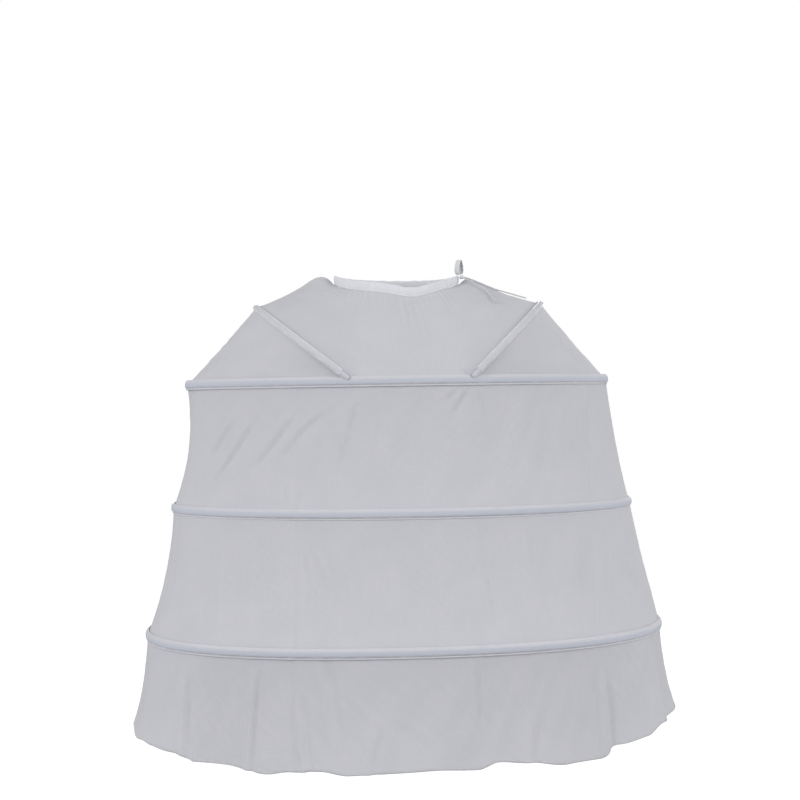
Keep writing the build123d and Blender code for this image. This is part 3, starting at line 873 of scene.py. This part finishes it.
for layer, wide in ((outer, across), (inner[:, ::-1], across[::-1])):
    side_on = wide[None, :] * BOW_HALF_WIDE
    x = BOW_AT[0] + layer[..., 0] * c + side_on * s
    y = BOW_AT[1] + layer[..., 0] * s - side_on * c
    ring_grid.append(np.stack([x, y, BOW_AT[2] + layer[..., 1]], axis=-1))
piece = shell("string_bow", np.concatenate(ring_grid, axis=1), closed=True)
dress(piece, string_painted_lighter, "cotton_tape", "tie_bow")

theta = np.linspace(0, 2 * np.pi, 49)[:-1][:, None]
lat = np.linspace(-1, 1, 17)[None, :]
wrap = 1 + 0.13 * np.cos(3 * theta + 5 * lat) + 0.06 * np.cos(lat * 9)
body = np.sqrt(np.maximum(1 - lat**4, 0.02)) * wrap
KNOT_AT, KNOT_REACH = (131.5, -20, -4), (4.9, 4.9, 4.1)
knot_shape = np.stack([lat + 0 * theta, body * np.cos(theta), body * np.sin(theta)], axis=-1)
knot_grid = np.array(KNOT_AT) + np.array(KNOT_REACH) * knot_shape


def ball(name, grid):
    """A closed mesh from rings of points, with both ends drawn to a pole."""
    rings, count = grid.shape[1], grid.shape[0]
    loops = grid.transpose(1, 0, 2)
    poles = np.stack([loops[0].mean(axis=0), loops[-1].mean(axis=0)])
    points = np.concatenate([loops.reshape(-1, 3), poles]) * MM
    faces = []
    i = np.arange(count)
    for r in range(rings - 1):
        a, b = r * count + i, r * count + (i + 1) % count
        faces += np.stack([a, b, b + count, a + count], axis=-1).tolist()
    low, high = rings * count, rings * count + 1
    last = (rings - 1) * count
    faces += [[int((k + 1) % count), int(k), low] for k in i]
    faces += [[int(last + k), int(last + (k + 1) % count), high] for k in i]
    mesh = bpy.data.meshes.new(name)
    mesh.from_pydata(points.tolist(), [], faces)
    mesh.polygons.foreach_set("use_smooth", np.ones(len(faces), dtype=bool))
    mesh.update()
    piece = bpy.data.objects.new(name, mesh)
    bpy.context.collection.objects.link(piece)
    return piece


piece = ball("string_knot", knot_grid)
dress(piece, string_painted_lighter, "cotton_tape", "tie_knot")


# Inside: a flat drawstring runs in the waist strips, and six herringbone tapes, sewn under the
# casings from back to front, hold the hoops oval. Tapes hang a little slack on their edge.
inner_tape = cotton("herringbone_cotton_tape", "#dcdce0", "#d0d0d6", 1.8, 0.6)
TAPE_X, TAPE_WIDE, TAPE_BELOW = 170, 14, 2
TAPE_THICK = 0.8
for number, ring in enumerate((HOOP_1, HOOP_2, HOOP_3), 1):
    for side, x in (("left", -TAPE_X), ("right", TAPE_X)):
        end = oval(ring, angle_at(ring, x, True), 1.5)
        reach = -end[1] - 1.6
        y = np.linspace(-reach, reach, 90)[:, None] + np.zeros((1, 9))
        down = np.linspace(0, TAPE_WIDE, 9)[None, :]
        slack = 1 - (y / reach) ** 2
        lean = 2.2 * slack * np.sin(y / 61 + number) * (down / TAPE_WIDE - 0.5)
        z = end[2] - TAPE_BELOW - down - 5 * slack
        grid = with_inside(np.stack([x + 0.4 + lean, y, z], axis=-1), TAPE_THICK)
        piece = shell(f"inner_tape_{number}_{side}", grid)
        dress(piece, inner_tape, "cotton_tape", f"cross_tape_{number}_{side}")
        flat = (2 * reach * MM, TAPE_WIDE * MM)
down = np.linspace(4, 16, 7)[None, :]
angle = np.linspace(2.6, 357.4, 400)[:, None] + 0 * down
face = waist_line(angle, -0.4 + 0.12 * np.sin(angle * 1.3))
face[..., 2] -= down
piece = shell("waist_string", with_inside(face, TAPE_THICK))
dress(piece, inner_tape, "cotton_tape", "drawstring")


# The steels are three hoops and two arches of flat spring steel with a white nylon coat, which run
# loose in their strips. A crimped sleeve of zinc-plated steel closes each hoop.
coated, tree, shader = blank("nylon_coated_spring_steel")
at = add(tree, "ShaderNodeTexCoord").outputs["Object"]
grain = add(tree, "ShaderNodeTexNoise", {"Vector": at, "Scale": 900.0, "Detail": 2})
tone = add(
    tree,
    "ShaderNodeMix",
    {"Factor": grain.outputs["Fac"], 6: colour("#e4e4e0"), 7: colour("#eeeeec")},
    data_type="RGBA",
)
tree.links.new(tone.outputs[2], shader.inputs["Base Color"])
shader.inputs["Roughness"].default_value = 0.35
crimped, tree, shader = blank("crimped_zinc_plated_steel")
at = add(tree, "ShaderNodeTexCoord").outputs["Object"]
scratch = add(tree, "ShaderNodeTexNoise", {"Vector": at, "Scale": 1500.0, "Detail": 3})
rough = add(
    tree,
    "ShaderNodeMapRange",
    {"Value": scratch.outputs["Fac"], "To Min": 0.25, "To Max": 0.5},
)
tree.links.new(rough.outputs[0], shader.inputs["Roughness"])
shader.inputs["Base Color"].default_value = colour("#b9bab8")
shader.inputs["Metallic"].default_value = 1.0
for name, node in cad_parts.items():
    if name.startswith(("hoop_bone", "arch_bone", "hoop_joiner")):
        node.data.materials.clear()
        node.data.materials.append(crimped if "joiner" in name else coated)


# The floor and the light: a pale studio floor that the camera sees as white, an even white
# surround, two large soft lamps at the back's left and right, and a weaker one before the front.
FLOOR_LEVEL, FLOOR_REACH = -1.32, 30
FLOOR_LIFT = 0.8
def pale(name, code):
    """A matte pale surface that is lifted to white where the camera looks at it."""
    finish, tree, shader = blank(name)
    shader.inputs["Base Color"].default_value = colour(code)
    shader.inputs["Roughness"].default_value = 0.9
    rays = add(tree, "ShaderNodeLightPath")
    seen = add(
        tree,
        "ShaderNodeMath",
        {0: rays.outputs["Is Camera Ray"], 1: rays.outputs["Is Glossy Ray"]},
        operation="MAXIMUM",
    )
    lift = add(tree, "ShaderNodeMath", {0: seen.outputs[0], 1: FLOOR_LIFT}, operation="MULTIPLY")
    tree.links.new(lift.outputs[0], shader.inputs["Emission Strength"])
    shader.inputs["Emission Color"].default_value = (1, 1, 1, 1)
    return finish


floor_mesh = bpy.data.meshes.new("floor")
corners = ((-1, -1), (1, -1), (1, 1), (-1, 1))
corners = [(x * FLOOR_REACH, y * FLOOR_REACH, FLOOR_LEVEL) for x, y in corners]
floor_mesh.from_pydata(corners, [], [(0, 1, 2, 3)])
floor = bpy.data.objects.new("floor", floor_mesh)
bpy.context.collection.objects.link(floor)
floor_mesh.materials.append(pale("pale_studio_floor", "#a2a2a2"))

world = bpy.data.worlds.new("surround")
bpy.context.scene.world = world
world.use_nodes = True
tree = world.node_tree
rays = add(tree, "ShaderNodeLightPath")
seen = add(
    tree,
    "ShaderNodeMath",
    {0: rays.outputs["Is Camera Ray"], 1: rays.outputs["Is Transmission Ray"]},
    operation="MAXIMUM",
)
level = add(
    tree,
    "ShaderNodeMapRange",
    {"Value": seen.outputs[0], "To Min": 0.5, "To Max": 1.0},
)
tree.links.new(level.outputs[0], tree.nodes["Background"].inputs["Strength"])
tree.nodes["Background"].inputs["Color"].default_value = (1, 1, 1, 1)


def lamp(name, place, aim, size, power):
    """A large square lamp at a place, turned to its aim."""
    data = bpy.data.lights.new(name, "AREA")
    data.size = size
    data.energy = power
    piece = bpy.data.objects.new(name, data)
    bpy.context.collection.objects.link(piece)
    piece.location = place
    turn = Vector(aim) - Vector(place)
    piece.rotation_euler = turn.to_track_quat("-Z", "Y").to_euler()


lamp("left_lamp", (-3.7, -2.7, 1.0), (0, 0, -0.4), 2.4, 94)
lamp("right_lamp", (3.7, -2.7, 0.9), (0, 0, -0.4), 2.4, 87)
lamp("front_lamp", (1.5, 4.2, 1.5), (0, 0, -0.5), 2.4, 50)
bpy.context.scene.view_settings.view_transform = "Standard"
